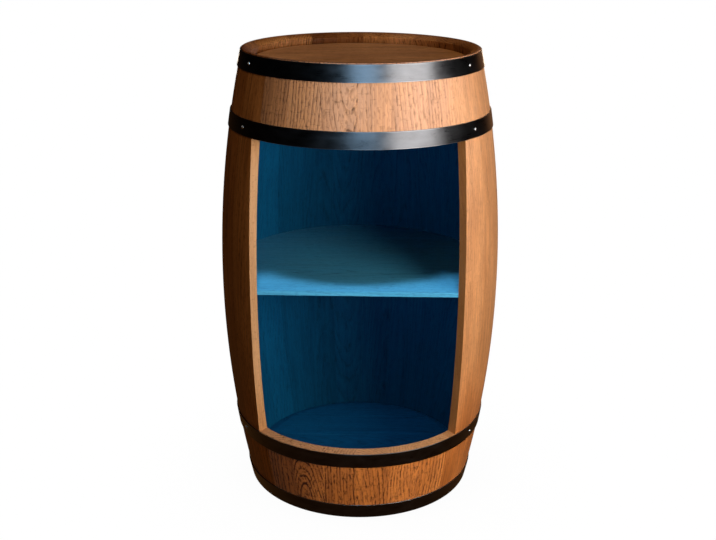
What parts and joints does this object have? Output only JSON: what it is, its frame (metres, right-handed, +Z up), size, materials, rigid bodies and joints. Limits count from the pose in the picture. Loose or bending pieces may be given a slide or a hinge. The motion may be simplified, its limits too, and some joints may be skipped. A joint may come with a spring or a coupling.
{
  "type": "barrel bar cabinet",
  "caption": "Upright wooden barrel with an open front, a shelf between its bottle bays, recessed round heads and riveted steel hoops.",
  "frame": {"origin": "on the barrel's axis, at the floor that its lower end stands on", "axes": "+Z up along the barrel's axis; the open front faces -Y; +X is to the right of someone who faces the opening"},
  "size_m": [0.506, 0.4886, 0.81],
  "materials": {
    "brown_wood": "brown stain, satin; the inside of the barrel is stained blue",
    "blue_wood": "blue stain, satin",
    "plain_wood": "bare",
    "hoop_steel": "dark rolled strip, satin",
    "nail_steel": "bright"
  },
  "bodies": {
    "root": {"stave_01": "brown_wood", "stave_02": "brown_wood", "stave_03": "brown_wood", "stave_04": "brown_wood", "stave_05": "brown_wood", "stave_06": "brown_wood", "stave_07": "brown_wood", "stave_08": "brown_wood", "stave_09": "brown_wood", "stave_10": "brown_wood", "stave_11": "brown_wood", "stave_12": "brown_wood", "stave_13": "brown_wood", "stave_14": "brown_wood", "stave_15": "brown_wood", "stave_16": "brown_wood", "stave_17": "brown_wood", "stave_18": "brown_wood", "front_upper_stave_1": "brown_wood", "front_upper_stave_2": "brown_wood", "front_upper_stave_3": "brown_wood", "front_upper_stave_4": "brown_wood", "front_upper_stave_5": "brown_wood", "front_upper_stave_6": "brown_wood", "front_lower_stave_1": "brown_wood", "front_lower_stave_2": "brown_wood", "front_lower_stave_3": "brown_wood", "front_lower_stave_4": "brown_wood", "front_lower_stave_5": "brown_wood", "front_lower_stave_6": "brown_wood", "top_head_board_1": "brown_wood", "top_head_board_2": "brown_wood", "top_head_board_3": "brown_wood", "top_head_board_4": "brown_wood", "top_head_board_5": "brown_wood", "bottom_head_board_1": "blue_wood", "bottom_head_board_2": "blue_wood", "bottom_head_board_3": "blue_wood", "bottom_head_board_4": "blue_wood", "bottom_head_board_5": "blue_wood", "shelf": "blue_wood", "top_head_dowels": "plain_wood", "bottom_head_dowels": "plain_wood", "shelf_pegs": "plain_wood", "top_hoop": "hoop_steel", "upper_hoop": "hoop_steel", "lower_hoop": "hoop_steel", "bottom_hoop": "hoop_steel", "hoop_rivets": "nail_steel", "hoop_nails": "nail_steel"}
  },
  "joints": []
}
